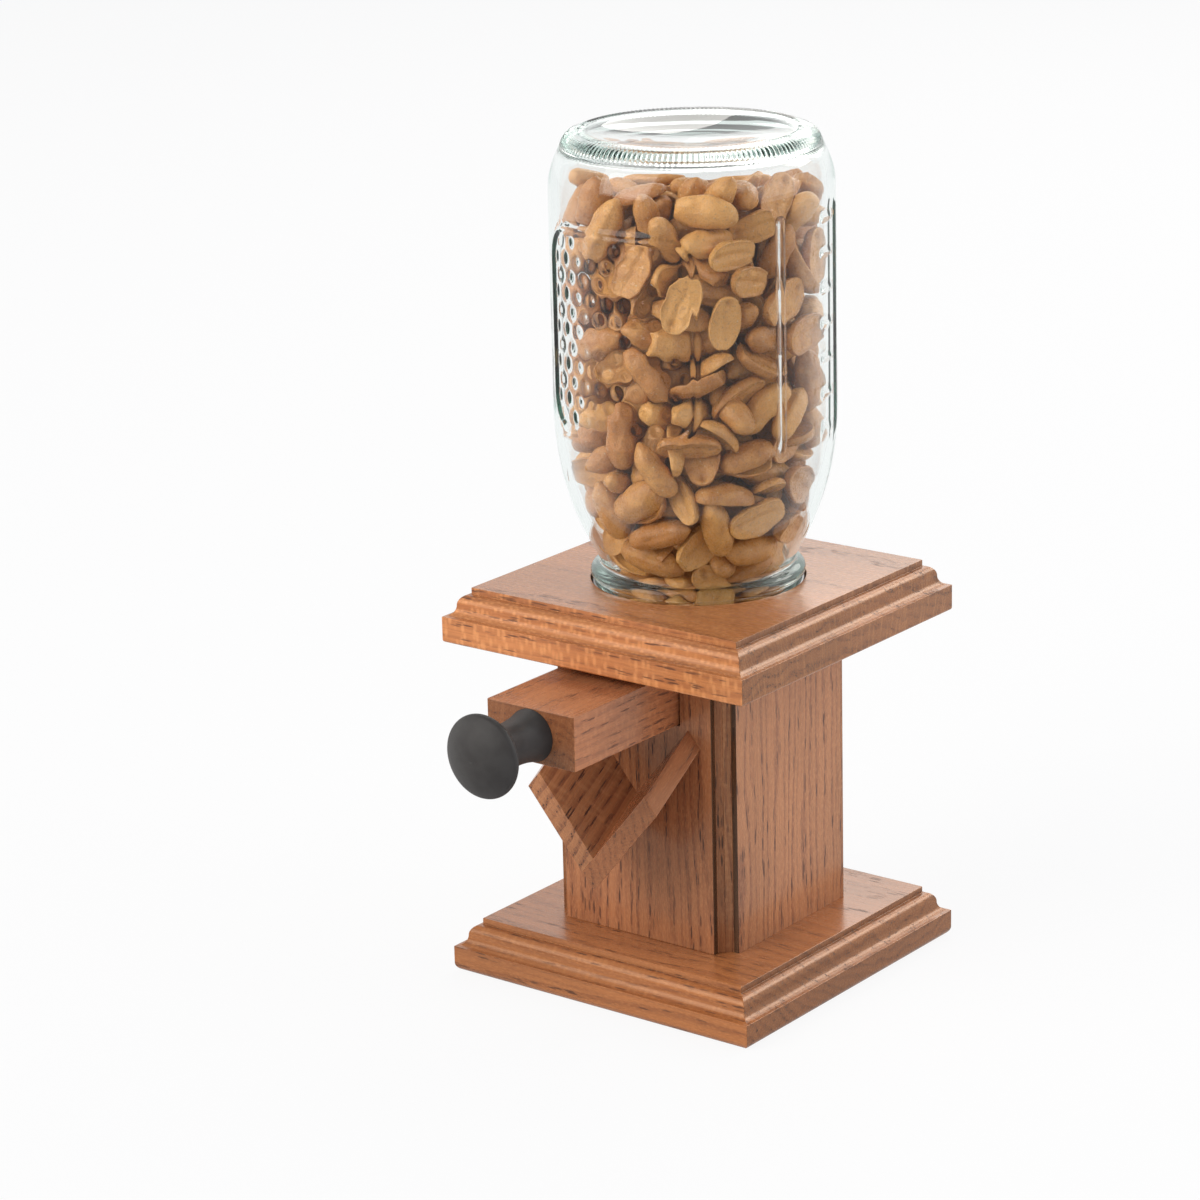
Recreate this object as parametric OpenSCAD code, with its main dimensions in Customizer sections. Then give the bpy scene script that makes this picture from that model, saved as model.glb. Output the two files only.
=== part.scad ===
// Wooden dispenser for small sweets or nuts: an inverted jar on a column, with a pull slide and a V chute.
// Millimetres. The origin is the centre of the base's underside, +Z is up and the front faces -Y.
// It is drawn with the slide pulled most of the way out.

/* [Plates] */
// Side of the square base plate and top plate
plate_width = 127; // [115:1:150]
// Thickness of both plates
plate_thickness = 19.05; // [18:0.05:24]
// Height of the straight lower edge of a plate, below its moulding
plate_edge_height = 9.25; // [6:0.05:9.5]
// Radius of the round and of the hollow in a plate's moulding
ogee_radius = 3.75; // [2:0.05:4]
// Rounding along the lower edges of the base plate
base_edge_round = 3; // [1:0.1:5]
// Easing along the lower edges of the top plate
top_edge_round = 1; // [0.5:0.1:3]

/* [Column] */
// Height of the column between the plates
column_height = 103.2; // [90:0.1:130]
// Thickness of the column's boards
board_thickness = 19.05; // [14:0.05:20]
// Leg of the chamfer along the column's corners
corner_chamfer = 3.6; // [2:0.1:5]
// Depth of the step on each side of that chamfer
corner_step = 2.4; // [1:0.1:3]

/* [Slide] */
// Width of the slide bar
slide_width = 36.5; // [33:0.1:42]
// Height of the slide bar
slide_height = 19.05; // [15:0.05:24]
// Gap on each side of the bar
slide_side_gap = 0.8; // [0.3:0.1:1.5]
// Gap under the bar
slide_floor_gap = 0.2; // [0.1:0.05:0.5]
// Gap above the bar
slide_head_gap = 3; // [1:0.1:5]
// How far the bar stands out of the column as drawn
slide_reach = 57.2; // [50:0.1:70]
// How much further the bar can be drawn out from there
slide_draw = 7; // [0:0.1:10]
// Wall between the pocket bored through the bar and the bar's sides
pocket_wall = 6.25; // [5.5:0.05:9]
// Space between the pocket and the column when the bar is fully out
pocket_lip = 0.4; // [0.2:0.1:2]
// How far the bar's tail reaches past the throat when the bar is fully out
tail_cover = 0.5; // [0.2:0.1:5]
// Thickness of the board that carries the bar inside the column
bed_thickness = 9.5; // [8:0.1:14]
// Side of the square strips under that board
cleat_size = 10; // [6:0.1:12]

/* [Stop] */
// Diameter of the stop pin
stop_diameter = 4; // [3:0.1:4.2]
// Height of the stop pin above the bed
stop_height = 4.5; // [3:0.1:6]
// Depth of the stop pin in the bed
stop_depth = 7; // [4:0.1:7.5]
// Distance of the stop pin behind the column's middle
stop_place = 5; // [0:0.1:8]
// Wall between the stop pin's rebate and the pocket
stop_wall = 1.6; // [1:0.1:1.8]
// Gap between the stop pin and its rebate
stop_gap = 0.2; // [0.1:0.05:0.3]

/* [Chute] */
// Length of the chute in front of the column
chute_length = 25.4; // [20:0.1:35]
// Downward slope of the chute, in degrees
chute_slope = 33; // [25:1:40]
// Width of each arm's inner face
chute_arm = 31.8; // [24:0.1:32]
// Thickness of the chute's boards
chute_board = 7; // [6:0.1:10]
// How far the chute's valley starts below the slide's floor
chute_drop = 27.7; // [24:0.1:40]
// Rounding at the chute's lowest corner
chute_tip_round = 1.6; // [0.5:0.1:3]
// Diameter of the dowels that hold the chute
dowel_diameter = 4; // [3:0.1:5]
// Length of those dowels
dowel_length = 20; // [14:0.1:24]

/* [Knob] */
// Diameter of the knob's head
knob_head = 29; // [26:0.1:36]
// Radius of the rounded rim of the head
knob_rim = 2; // [1.5:0.1:4]
// Distance of the head's widest circle from the bar
knob_wide_at = 25.2; // [22:0.1:30]
// Height of the head's dome above that circle
knob_dome = 6.5; // [5:0.1:12]
// Diameter of the knob's foot
knob_foot = 18.4; // [16:0.1:19]
// Diameter of the knob's neck
knob_neck = 15.2; // [9:0.1:15.8]
// Distance of the neck's narrowest circle from the bar
knob_neck_at = 11.4; // [8:0.1:14]
// Radius of the hollow round the neck
knob_hollow = 40; // [20:0.5:60]
// Diameter of the stud that holds the knob
stud_diameter = 4; // [3:0.1:5]
// Depth of the stud in the knob
stud_in_knob = 12; // [8:0.1:16]
// Depth of the stud in the bar
stud_in_bar = 24; // [15:0.1:30]

/* [Jar] */
// Height of the jar
jar_height = 170.8; // [140:0.1:190]
// Diameter of the jar's body
jar_diameter = 97.2; // [90:0.1:110]
// Thickness of the glass
jar_wall = 3.2; // [2.5:0.1:4]
// Thickness of the jar's bottom, which is uppermost
jar_floor = 5; // [4:0.1:7]
// Height above the rim at which the shoulder ends
jar_shoulder_end = 74.6; // [60:0.1:80]
// Radius of the shoulder's curve
jar_shoulder_radius = 100; // [95:1:110]
// Radius of the curve between the body and the bottom
jar_heel_radius = 30; // [25:0.5:32]
// Height of that curve
jar_heel_height = 20.2; // [15:0.1:22]
// Depth of the push-up in the jar's bottom
jar_push_up = 3; // [1:0.1:3.4]
// Diameter of the push-up
jar_push_up_diameter = 64; // [50:0.5:70]
// Diameter of the jar's mouth
mouth_diameter = 59.6; // [56:0.1:61]
// Diameter of the neck below the thread
neck_diameter = 66.4; // [64:0.1:67]
// Diameter over the thread
thread_diameter = 70; // [69:0.1:72]
// Radius of the thread's rounded ridge
thread_ridge = 1.4; // [1:0.1:1.7]
// Pitch of the thread
thread_pitch = 5.08; // [4:0.01:6]
// Diameter over the bead at the end of the neck
bead_diameter = 74.8; // [73:0.1:77]
// Radius of the bead
bead_radius = 2.6; // [2:0.1:3]
// Distance from the jar's rim to the near side of the bead
finish_length = 14.6; // [13:0.1:15]

/* [Lid] */
// Thickness of the lid's sheet metal
lid_sheet = 0.4; // [0.3:0.05:0.6]
// Gap between the thread and the lid
lid_gap = 0.3; // [0.2:0.05:0.6]
// Radius of the lid's rolled edge
lid_roll = 0.8; // [0.6:0.1:1]
// Distance of the lid's rolled edge below the top plate's upper face
lid_sink = 1; // [0.5:0.1:2]
// Gap between the lid and the recess in the top plate
recess_gap = 0.5; // [0.2:0.1:1]
// Thickness of the sealing ring
seal_thickness = 0.6; // [0.4:0.1:1]
// Diameter of the throat between the jar and the slide
throat_diameter = 25.4; // [18:0.1:28]

/* [Screws] */
// Shank diameter of the screws in the lid
lid_screw_diameter = 3; // [2:0.1:3.5]
// Length of the screws in the lid, below their heads
lid_screw_length = 18; // [12:0.5:24]
// Head diameter of the screws in the lid
lid_screw_head = 5; // [4:0.1:6]
// Head height of the screws in the lid
lid_screw_head_height = 1.8; // [1:0.1:2.5]
// Gap between those heads and the jar's mouth
lid_screw_margin = 1.2; // [0.5:0.1:2]
// Angle of those screws from the sideways axis, in degrees
lid_screw_angle = 20; // [10:1:22]
// Shank diameter of the screws in the base
base_screw_diameter = 4; // [3:0.1:5]
// Head diameter of the screws in the base
base_screw_head = 8.4; // [7:0.1:10]
// Length of the screws in the base
base_screw_length = 36; // [30:0.5:45]
// Depth of their heads below the base's underside
base_screw_sink = 1; // [0.5:0.1:3]
// Gap round a screw, stud or dowel in its hole
hole_gap = 0.05; // [0.02:0.01:0.1]

/* [Hidden] */
$fn = 96;

// Cuts run past a surface by this much
past = 1;

// Column
inner_width = slide_width + 2 * slide_side_gap;
column_width = inner_width + 2 * board_thickness;
column_half = column_width / 2;
column_top = plate_thickness + column_height;
board_middle = column_half - board_thickness / 2;

// Slide
slide_floor = column_top - slide_head_gap - slide_height - slide_floor_gap;
slide_bottom = slide_floor + slide_floor_gap;
slide_front = -column_half - slide_reach;
pocket_radius = slide_width / 2 - pocket_wall;
pocket_y = -column_half - pocket_lip - pocket_radius + slide_draw;
slide_push = -pocket_y;
throat_radius = throat_diameter / 2;
slide_tail = throat_radius + tail_cover + slide_draw;
slide_axis_z = slide_bottom + slide_height / 2;

// Stop
stop_radius = stop_diameter / 2;
rebate_edge = pocket_radius + stop_wall;
rebate_front = stop_place - slide_push - stop_radius - stop_gap;
rebate_back = stop_place + slide_draw + stop_radius + stop_gap;
rebate_height = stop_height - slide_floor_gap + stop_gap;
stop_x = -(rebate_edge + stop_gap + stop_radius);

// Chute
chute_valley = slide_floor - chute_drop;
// The arms stand square to each other
arm_tilt = 45;
// A dowel's middle lies halfway along its arm, and far enough up the slope to be on the column's face
dowel_along = chute_arm / 2;
dowel_slip = -(dowel_along - chute_board / 2) * sin(arm_tilt) * tan(chute_slope);

// Knob: the dome's centre lies on the axis, and the dome runs smoothly into the rim
knob_rim_at = knob_head / 2 - knob_rim;
knob_projection = knob_wide_at + knob_dome;
dome_reach = knob_projection - knob_rim;
dome_centre = (dome_reach * dome_reach - knob_rim_at * knob_rim_at - knob_wide_at * knob_wide_at)
    / (2 * (dome_reach - knob_wide_at));
dome_radius = knob_projection - dome_centre;
dome_share = dome_radius / (dome_radius - knob_rim);
dome_edge = knob_rim_at * dome_share;
knob_underside = knob_wide_at - knob_rim;

// Jar and lid
plate_top = column_top + plate_thickness;
recess_depth = finish_length + seal_thickness + lid_sheet;
recess_floor = plate_top - recess_depth;
rim_z = plate_top - finish_length;
thread_radius = thread_diameter / 2;
skirt_inner = thread_radius + lid_gap;
skirt_outer = skirt_inner + lid_sheet;
lid_outer = skirt_outer + 2 * lid_roll - lid_sheet;
lid_height = recess_depth - lid_sink;
recess_radius = lid_outer + recess_gap;
mouth_radius = mouth_diameter / 2;
neck_radius = neck_diameter / 2;
jar_radius = jar_diameter / 2;
bead_at = finish_length + bead_radius;
heel_start = jar_height - jar_heel_height;
push_up_radius = jar_push_up_diameter / 2;
push_up_sphere = (push_up_radius * push_up_radius + jar_push_up * jar_push_up) / (2 * jar_push_up);
lip_round = 0.8;
thread_turns = [1, 2];

// Screws
lid_screw_ring = mouth_radius - lid_screw_margin - lid_screw_head / 2;
head_bevel = lid_screw_head_height / 2;
drive_ratio = 0.45;
screw_places = [0, 90, 180, 270];

// Plates

module plate_outline(lower_round) {
    half = plate_width / 2;
    square_from(half - lower_round, 0, plate_edge_height);
    square_from(half, lower_round, plate_edge_height);
    square_from(half - 2 * ogee_radius, 0, plate_thickness);
    for (side = [-1, 1]) {
        translate([side * (half - lower_round), lower_round])
            circle(lower_round);
        translate([side * (half - 2 * ogee_radius), plate_edge_height + ogee_radius])
            circle(ogee_radius);
    }
    difference() {
        square_from(half, plate_edge_height - past, plate_edge_height + ogee_radius);
        for (side = [-1, 1])
            translate([side * half, plate_edge_height + ogee_radius])
                circle(ogee_radius);
    }
}

// Rectangle across the middle line, from one height to another
module square_from(half, low, high) {
    translate([-half, low])
        square([2 * half, high - low]);
}

module moulded_plate(lower_round) {
    intersection_for (turn = [0, 90])
        rotate([90, 0, turn])
            linear_extrude(height = plate_width, center = true)
                plate_outline(lower_round);
}

module base_plate() {
    color("#a9683a")
        difference() {
            moulded_plate(base_edge_round);
            at_base_screws()
                base_screw(hole_gap);
        }
}

module top_plate() {
    color("#a9683a")
        difference() {
            translate([0, 0, column_top])
                moulded_plate(top_edge_round);
            translate([0, 0, recess_floor])
                cylinder(h = recess_depth + past, r = recess_radius);
            throat();
            at_lid_screws()
                lid_screw(hole_gap);
        }
}

// The way from the jar's mouth down to the slide
module throat() {
    translate([0, 0, column_top - past])
        cylinder(h = recess_depth, r = throat_radius);
}

// Column

// Plan of a board with its outer face towards -Y and mitred ends
module board_plan() {
    difference() {
        polygon([
            [-column_half, -column_half],
            [column_half, -column_half],
            [inner_width / 2, -inner_width / 2],
            [-inner_width / 2, -inner_width / 2]
        ]);
        for (side = [0, 1])
            mirror([side, 0])
                corner_cut();
    }
}

// What is cut off a corner of the column: a chamfer that is let in by a step on each side
module corner_cut() {
    inset = corner_chamfer + corner_step;
    translate([column_half, -column_half])
        polygon([
            [-inset, -past],
            [-inset, corner_step],
            [-corner_step, inset],
            [past, inset],
            [past, -past]
        ]);
}

module column_board(turn) {
    rotate(turn)
        translate([0, 0, plate_thickness])
            linear_extrude(height = column_height)
                board_plan();
}

// The way that the slide takes through the front and back boards
module slide_way() {
    translate([-inner_width / 2, -column_half - past, slide_floor])
        cube([inner_width, column_width + 2 * past, column_top - slide_floor + past]);
}

module notched_board(turn) {
    color("#9c5f35")
        difference() {
            column_board(turn);
            slide_way();
            at_base_screws()
                base_screw(hole_gap);
            at_dowels()
                dowel(hole_gap);
        }
}

module front_board() {
    notched_board(0);
}

module back_board() {
    notched_board(180);
}

module side_board(turn) {
    color("#9c5f35")
        difference() {
            column_board(turn);
            at_base_screws()
                base_screw(hole_gap);
            at_lid_screws()
                lid_screw(hole_gap);
        }
}

module left_board() {
    side_board(270);
}

module right_board() {
    side_board(90);
}

// Bed of the slide

module slide_bed() {
    color("#b98a5a")
        difference() {
            translate([-inner_width / 2, -inner_width / 2, slide_floor - bed_thickness])
                cube([inner_width, inner_width, bed_thickness]);
            at_stop()
                translate([0, 0, -stop_depth])
                    cylinder(h = stop_depth + past, r = stop_radius + hole_gap);
        }
}

module bed_cleat(side) {
    color("#b98a5a")
        translate([side * (inner_width - cleat_size) / 2, 0, slide_floor - bed_thickness - cleat_size / 2])
            cube([cleat_size, inner_width, cleat_size], center = true);
}

module bed_cleat_left() {
    bed_cleat(-1);
}

module bed_cleat_right() {
    bed_cleat(1);
}

module at_stop() {
    translate([stop_x, stop_place, slide_floor])
        children();
}

module stop_pin() {
    color("#c79a68")
        at_stop()
            translate([0, 0, -stop_depth])
                cylinder(h = stop_depth + stop_height, r = stop_radius);
}

// Chute

// Runs a section along the chute, from inside the column's front to past the chute's end
module along_chute() {
    translate([0, -column_half, chute_valley])
        rotate([90 + chute_slope, 0, 0])
            linear_extrude(height = 4 * chute_length, center = true)
                children();
}

module chute_space() {
    reach = chute_arm + 2 * chute_board;
    translate([-reach, -column_half - chute_length, chute_valley - 2 * reach])
        cube([2 * reach, chute_length, 4 * reach]);
}

module left_arm_section() {
    rotate(180 - arm_tilt)
        square([chute_arm, chute_board]);
}

module right_arm_section() {
    rotate(arm_tilt)
        translate([-chute_board, -chute_board])
            difference() {
                square([chute_arm + chute_board, chute_board]);
                difference() {
                    square(chute_tip_round);
                    translate([chute_tip_round, chute_tip_round])
                        circle(chute_tip_round);
                }
            }
}

module chute_left_arm() {
    color("#a5683d")
        difference() {
            intersection() {
                along_chute()
                    left_arm_section();
                chute_space();
            }
            at_dowels()
                dowel(hole_gap);
        }
}

module chute_right_arm() {
    color("#a5683d")
        difference() {
            intersection() {
                along_chute()
                    right_arm_section();
                chute_space();
            }
            at_dowels()
                dowel(hole_gap);
        }
}

// The middle of each arm, where it meets the column, looking along the chute
module at_dowels() {
    for (side = [-1, 1])
        translate([0, -column_half, chute_valley])
            rotate([90 + chute_slope, 0, 0])
                rotate(90 - side * arm_tilt)
                    translate([dowel_along, -side * chute_board / 2, 0])
                        translate([0, 0, dowel_slip])
                            children();
}

module dowel(gap) {
    cylinder(h = dowel_length + 2 * gap, r = dowel_diameter / 2 + gap, center = true);
}

module chute_dowels() {
    color("#c79a68")
        at_dowels()
            dowel(0);
}

// Slide

module slide_bar() {
    length = slide_tail - slide_front;
    color("#a05a30")
        difference() {
            translate([-slide_width / 2, slide_front, slide_bottom])
                cube([slide_width, length, slide_height]);
            translate([0, pocket_y, slide_bottom - past])
                cylinder(h = slide_height + 2 * past, r = pocket_radius);
            translate([-slide_width / 2 - past, rebate_front, slide_bottom - past])
                cube([slide_width / 2 + past - rebate_edge, rebate_back - rebate_front, rebate_height + past]);
            stud(hole_gap);
        }
}

// Turns a shape that stands on the bar's front end outwards, towards -Y
module at_bar_end() {
    translate([0, slide_front, slide_axis_z])
        rotate([90, 0, 0])
            children();
}

module knob_section() {
    translate([0, knob_underside])
        square([knob_rim_at, knob_rim]);
    difference() {
        square([knob_foot / 2, knob_underside]);
        translate([knob_neck / 2 + knob_hollow, knob_neck_at])
            circle(knob_hollow);
    }
    translate([knob_rim_at, knob_wide_at])
        circle(knob_rim);
    intersection() {
        translate([0, dome_centre])
            circle(dome_radius);
        translate([0, knob_wide_at])
            square([dome_edge, knob_projection]);
    }
}

module knob() {
    color("#2b2a29")
        difference() {
            at_bar_end()
                rotate_extrude()
                    knob_section();
            stud(hole_gap);
        }
}

module stud(gap) {
    at_bar_end()
        translate([0, 0, -stud_in_bar - gap])
            cylinder(h = stud_in_bar + stud_in_knob + 2 * gap, r = stud_diameter / 2 + gap);
}

module knob_stud() {
    color("#8d8f92")
        stud(0);
}

// Jar

// Outline of the jar's glass without its hollow, with the rim at zero height
module jar_outside() {
    difference() {
        square([neck_radius, bead_at]);
        difference() {
            translate([neck_radius - lip_round, 0])
                square(lip_round);
            translate([neck_radius - lip_round, lip_round])
                circle(lip_round);
        }
    }
    for (turn = thread_turns)
        translate([thread_radius - thread_ridge, turn * thread_pitch]) {
            circle(thread_ridge);
            translate([-thread_ridge, -thread_ridge])
                square([thread_ridge, 2 * thread_ridge]);
        }
    translate([0, bead_at - bead_radius])
        square([bead_diameter / 2 - bead_radius, 2 * bead_radius]);
    translate([bead_diameter / 2 - bead_radius, bead_at])
        circle(bead_radius);
    translate([0, bead_at])
        square([neck_radius, jar_shoulder_end - bead_at]);
    jar_body(jar_radius, jar_shoulder_radius, jar_heel_radius, jar_height);
}

// Body between the neck and a top height, with its shoulder and its heel curve
module jar_body(radius, shoulder, heel, top) {
    intersection() {
        translate([radius - shoulder, jar_shoulder_end])
            circle(shoulder);
        translate([0, bead_at])
            square([radius, jar_shoulder_end - bead_at]);
    }
    translate([0, jar_shoulder_end])
        square([radius, heel_start - jar_shoulder_end]);
    intersection() {
        translate([radius - heel, heel_start])
            circle(heel);
        translate([0, heel_start])
            square([radius, top - heel_start]);
    }
}

module jar_inside() {
    translate([0, -past])
        square([mouth_radius, jar_shoulder_end + past]);
    jar_body(jar_radius - jar_wall, jar_shoulder_radius - jar_wall, jar_heel_radius - jar_wall,
        jar_height - jar_floor);
}

// Shallow dome that is hollowed out of the jar's bottom
module push_up() {
    translate([0, jar_height - jar_push_up + push_up_sphere])
        circle(push_up_sphere);
}

module jar() {
    color("#dfeeea", 0.4)
        translate([0, 0, rim_z])
            rotate_extrude()
                intersection() {
                    difference() {
                        jar_outside();
                        jar_inside();
                        push_up();
                    }
                    square([jar_diameter, 2 * jar_height]);
                }
}

module jar_seal() {
    color("#b5452f")
        translate([0, 0, rim_z - seal_thickness])
            difference() {
                cylinder(h = seal_thickness, r = neck_radius);
                translate([0, 0, -past])
                    cylinder(h = seal_thickness + 2 * past, r = mouth_radius);
            }
}

// Lid

module lid_section() {
    square([skirt_outer, lid_sheet]);
    translate([skirt_inner, 0])
        square([lid_sheet, lid_height - lid_roll]);
    translate([skirt_inner + lid_roll, lid_height - lid_roll])
        circle(lid_roll);
}

module jar_lid() {
    color("#b9bcc0")
        difference() {
            translate([0, 0, recess_floor])
                rotate_extrude()
                    lid_section();
            throat();
            at_lid_screws()
                lid_screw(hole_gap);
        }
}

// Screws

module at_lid_screws() {
    for (x = [-1, 1], y = [-1, 1])
        translate([
            x * lid_screw_ring * cos(lid_screw_angle),
            y * lid_screw_ring * sin(lid_screw_angle),
            recess_floor + lid_sheet
        ])
            children();
}

// Round-headed screw whose head stands on the lid
module lid_screw(gap) {
    radius = lid_screw_diameter / 2;
    rotate_extrude()
        polygon([
            [0, lid_screw_head_height],
            [lid_screw_head / 2 - head_bevel, lid_screw_head_height],
            [lid_screw_head / 2, lid_screw_head_height - head_bevel],
            [lid_screw_head / 2, 0],
            [radius + gap, 0],
            [radius + gap, -lid_screw_length + 2 * radius],
            [0, -lid_screw_length - gap]
        ]);
}

module lid_screws() {
    color("#c9b26a")
        at_lid_screws()
            difference() {
                lid_screw(0);
                drive(lid_screw_head_height, lid_screw_diameter);
            }
}

// Cross in a screw's head, sunk from the given height
module drive(height, width) {
    slot = width * drive_ratio / 2;
    for (turn = [0, 90])
        rotate(turn)
            translate([-width * drive_ratio, -slot / 2, height - slot])
                cube([2 * width * drive_ratio, slot, slot + past]);
}

module at_base_screws() {
    for (turn = screw_places)
        rotate(turn)
            translate([board_middle, 0, 0])
                children();
}

// Countersunk screw pointing up, with its head sunk into the underside, or the hole for it
module base_screw(gap) {
    radius = base_screw_diameter / 2;
    head = base_screw_head / 2;
    start = gap > 0 ? -base_screw_sink - past : 0;
    translate([0, 0, base_screw_sink])
        rotate_extrude()
            polygon([
                [0, start],
                [head + gap, start],
                [head + gap, 0],
                [radius + gap, head - radius],
                [radius + gap, base_screw_length - 2 * radius],
                [0, base_screw_length + gap]
            ]);
}

module base_screws() {
    color("#b9bcc0")
        at_base_screws()
            difference() {
                base_screw(0);
                translate([0, 0, base_screw_sink])
                    mirror([0, 0, 1])
                        drive(0, base_screw_diameter);
            }
}

base_plate();
top_plate();
front_board();
back_board();
left_board();
right_board();
slide_bed();
bed_cleat_left();
bed_cleat_right();
stop_pin();
chute_left_arm();
chute_right_arm();
chute_dowels();
jar_lid();
lid_screws();
base_screws();
slide_bar();
knob();
knob_stud();
jar_seal();
jar();
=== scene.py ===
"""Looks of a wooden dispenser that stands an inverted glass jar of peanuts on a pull slide.

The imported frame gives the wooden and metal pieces. This script finishes their surfaces, eases their edges,
models the embossed jar and its contents, and sets up the camera, the lamps and the floor.
Lengths are in millimetres up to the point where a mesh is made, and in metres after that.
"""

import math

import bpy
import numpy as np
from mathutils import Matrix, Vector, noise


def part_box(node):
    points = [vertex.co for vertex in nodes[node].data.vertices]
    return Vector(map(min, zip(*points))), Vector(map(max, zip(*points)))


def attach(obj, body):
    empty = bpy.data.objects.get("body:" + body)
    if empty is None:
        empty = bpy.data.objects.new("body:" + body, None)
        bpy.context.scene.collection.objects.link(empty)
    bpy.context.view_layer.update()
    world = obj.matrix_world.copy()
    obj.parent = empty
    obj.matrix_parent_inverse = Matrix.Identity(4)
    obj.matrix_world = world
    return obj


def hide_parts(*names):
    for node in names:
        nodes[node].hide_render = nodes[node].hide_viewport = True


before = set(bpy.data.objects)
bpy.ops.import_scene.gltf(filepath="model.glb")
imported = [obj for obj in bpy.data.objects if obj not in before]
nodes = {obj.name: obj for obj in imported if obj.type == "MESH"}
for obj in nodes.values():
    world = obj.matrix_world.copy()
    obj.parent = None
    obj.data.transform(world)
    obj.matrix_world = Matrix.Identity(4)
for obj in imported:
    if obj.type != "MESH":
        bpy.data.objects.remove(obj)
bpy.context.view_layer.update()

MM = 0.001
SEED = 7

# Viewpoint of the photograph
CAMERA_AZIMUTH = 37.797
CAMERA_ELEVATION = 17.278
CAMERA_ROLL = -1.431
CAMERA_DISTANCE = 1440.1
CAMERA_TARGET = (-59.6, 20.8, 116.1)
CAMERA_LENS = 119.55
SENSOR_WIDTH = 36.0


def direction(azimuth, elevation):
    """Unit vector from the object, with azimuth 0 at the front and 90 at the right, in degrees."""
    turn = math.radians(azimuth)
    rise = math.radians(elevation)
    return Vector((
        math.sin(turn) * math.cos(rise),
        -math.cos(turn) * math.cos(rise),
        math.sin(rise),
    ))


# Shader helper


class Shader:
    """A material's node tree, with short calls for the nodes that the finishes use."""

    def __init__(self, name):
        self.material = bpy.data.materials.new(name)
        self.material.use_nodes = True
        self.tree = self.material.node_tree
        self.surface = self.tree.nodes["Principled BSDF"]
        self.output = self.tree.nodes["Material Output"]

    def add(self, kind, **settings):
        node = self.tree.nodes.new("ShaderNode" + kind)
        for key, value in settings.items():
            setattr(node, key, value)
        return node

    def feed(self, socket, value):
        """Links a socket to another, or sets it to a value."""
        if isinstance(value, bpy.types.NodeSocket):
            self.tree.links.new(value, socket)
        else:
            socket.default_value = value

    def set(self, **values):
        """Sets the surface's inputs, whose names are given with _ for a space."""
        for key, value in values.items():
            self.feed(self.surface.inputs[key.replace("_", " ")], value)

    def coordinates(self):
        """Place on the object, in metres."""
        return self.add("TexCoord").outputs["Object"]

    def millimetres(self):
        """Place on the object, in millimetres."""
        return self.mapping(self.coordinates(), (1 / MM,) * 3)

    def separate(self, vector):
        """The three parts of a vector."""
        node = self.add("SeparateXYZ")
        self.feed(node.inputs[0], vector)
        return tuple(node.outputs)

    def combine(self, *parts):
        """A vector from its parts."""
        node = self.add("CombineXYZ")
        for socket, part in zip(node.inputs, parts):
            self.feed(socket, part)
        return node.outputs[0]

    def mapping(self, vector, scale=(1, 1, 1), rotation=(0, 0, 0), location=(0, 0, 0)):
        node = self.add("Mapping")
        self.feed(node.inputs["Vector"], vector)
        node.inputs["Scale"].default_value = scale
        node.inputs["Rotation"].default_value = rotation
        node.inputs["Location"].default_value = location
        return node.outputs["Vector"]

    def math(self, operation, *values):
        node = self.add("Math", operation=operation)
        for socket, value in zip(node.inputs, values):
            self.feed(socket, value)
        return node.outputs[0]

    def smooth(self, value, low, high, start=0.0, end=1.0):
        """Smooth step of a value from one level to another."""
        node = self.add("MapRange", interpolation_type="SMOOTHSTEP")
        self.feed(node.inputs["Value"], value)
        for name, level in (("From Min", low), ("From Max", high), ("To Min", start), ("To Max", end)):
            node.inputs[name].default_value = level
        return node.outputs["Result"]

    def noise(self, vector, scale=1.0, detail=2.0, rough=0.5):
        """Smooth noise from 0 to 1."""
        node = self.add("TexNoise")
        self.feed(node.inputs["Vector"], vector)
        node.inputs["Scale"].default_value = scale
        node.inputs["Detail"].default_value = detail
        node.inputs["Roughness"].default_value = rough
        return node.outputs["Fac"]

    def wander(self, vector, scale, detail, size):
        """Smooth noise about zero, with its whole spread given by size."""
        waves = self.noise(self.mapping(vector, scale), 1.0, detail)
        return self.math("MULTIPLY", self.math("SUBTRACT", waves, 0.5), size)

    def cells(self, vector, scale=1.0):
        """Distance to the nearest of many scattered points."""
        node = self.add("TexVoronoi")
        self.feed(node.inputs["Vector"], vector)
        node.inputs["Scale"].default_value = scale
        return node.outputs["Distance"]

    def mix(self, factor, first, second, blend="MIX"):
        node = self.add("Mix", data_type="RGBA", blend_type=blend)
        self.feed(node.inputs[0], factor)
        self.feed(node.inputs[6], first)
        self.feed(node.inputs[7], second)
        return node.outputs[2]

    def bump(self, height, strength, distance):
        node = self.add("Bump")
        node.inputs["Strength"].default_value = strength
        node.inputs["Distance"].default_value = distance
        self.feed(node.inputs["Height"], height)
        return node.outputs["Normal"]


# Oak, with lengths along, across and through the grain in millimetres

LATEWOOD = (0.40, 0.155, 0.057, 1)
EARLYWOOD = (0.20, 0.066, 0.028, 1)
PORE = (0.060, 0.022, 0.014, 1)
RAY = (0.56, 0.250, 0.098, 1)
SWAY_SCALE = (0.014, 0.040, 0.040)
SWAY_SIZE = 8.0
RIPPLE_SCALE = (0.045, 0.40, 0.40)
RIPPLE_SIZE = 1.3
UNEVEN_SCALE = (0.005, 0.11, 0.11)
UNEVEN_SIZE = 7.0
EARLY_RISE = (0.0, 0.12)
EARLY_FALL = (0.16, 0.66)
YEAR_SCALE = 0.73
WEAK_YEAR = 0.45
PORE_LENGTH = 7.5
PORE_WIDTH = 0.95
PORE_EDGE = (0.43, 0.25)
LATE_PORES = 0.08
PATCH_SCALE = (0.03, 0.16, 0.16)
PATCH_LEAST = 0.30
RAY_LENGTH = 2.0
RAY_WIDTH = 0.42
RAY_DEPTH = 15.0
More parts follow.
